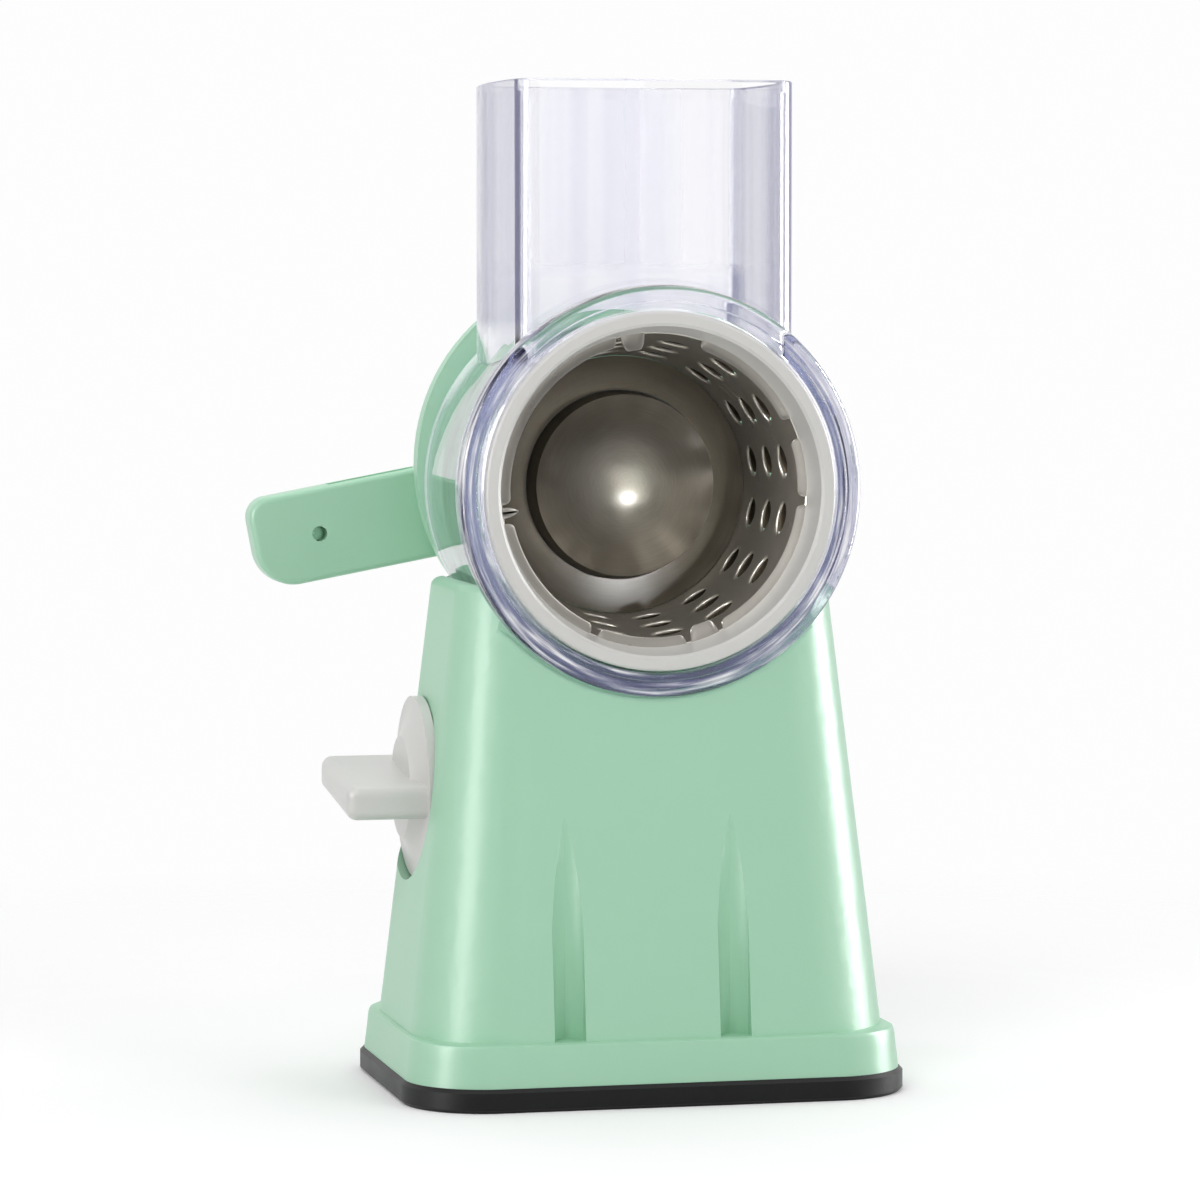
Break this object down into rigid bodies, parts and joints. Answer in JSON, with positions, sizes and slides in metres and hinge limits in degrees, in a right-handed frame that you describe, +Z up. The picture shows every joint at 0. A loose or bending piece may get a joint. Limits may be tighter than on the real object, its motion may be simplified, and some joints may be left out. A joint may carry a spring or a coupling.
{
  "type": "rotary vegetable grater",
  "caption": "Hand-cranked drum grater with a clear feed chute and barrel, a punched steel drum and a tapered tower on a suction foot.",
  "frame": {"origin": "centre of the rubber foot's underside", "axes": "+Z up, -Y towards the open front of the drum, +X to the right seen from the front"},
  "size_m": [0.1679, 0.1506, 0.2755],
  "materials": {
    "green_plastic": "satin mint green moulding",
    "clear_plastic": "clear polished moulding",
    "white_plastic": "satin white moulding",
    "grey_plastic": "plain grey moulding",
    "black_rubber": "matt rubber",
    "brushed_steel": "brushed stainless sheet",
    "steel": "bright plated steel"
  },
  "bodies": {
    "base": {"base_housing": "green_plastic", "suction_pad": "black_rubber", "bottom_plate": "green_plastic", "bottom_screws": "steel", "cam_bracket": "steel", "bracket_screws": "steel", "shaft_bush": "grey_plastic", "stem_spring": "steel"},
    "barrel": {"hopper_barrel": "clear_plastic"},
    "crank": {"crank_arm": "green_plastic", "drive_shaft": "steel", "crank_screw": "steel", "crank_washer": "steel", "thrust_washer": "grey_plastic", "shaft_clip": "steel", "grip_pin": "steel"},
    "grip": {"crank_grip": "green_plastic"},
    "drum": {"drum_shell": "brushed_steel", "drum_floor": "brushed_steel", "drum_dome": "brushed_steel", "drum_hub": "grey_plastic", "drum_front_ring": "white_plastic"},
    "knob": {"lock_knob": "white_plastic", "knob_spindle": "steel", "lock_cam": "grey_plastic", "spindle_clip": "steel"},
    "stem": {"suction_stem": "grey_plastic", "spring_collar": "steel"}
  },
  "joints": [
    {"name": "barrel_twist", "type": "hinge", "parent": "base", "child": "barrel", "pos_m": [0, 0, 0.165], "axis": [0, 1, 0], "range_deg": [0, 25]},
    {"name": "crank_turn", "type": "hinge", "parent": "base", "child": "crank", "pos_m": [0, 0.04, 0.165], "axis": [0, 1, 0], "continuous": true},
    {"name": "grip_spin", "type": "hinge", "parent": "crank", "child": "grip", "pos_m": [-0.07814, 0.078, 0.15038], "axis": [0, 1, 0], "continuous": true},
    {"name": "drum_pull", "type": "slide", "parent": "crank", "child": "drum", "axis": [0, -1, 0], "range_m": [0, 0.08]},
    {"name": "knob_turn", "type": "hinge", "parent": "base", "child": "knob", "pos_m": [-0.06, 0.01, 0.082], "axis": [1, 0, 0], "range_deg": [0, 90]},
    {"name": "stem_lift", "type": "slide", "parent": "base", "child": "stem", "axis": [0, 0, 1], "range_m": [0, 0.0035], "deforming": ["stem_spring"]}
  ],
  "couplings": [
    {"joint": "stem_lift", "follows": "knob_turn", "m_per_rad": 0.002228}
  ]
}
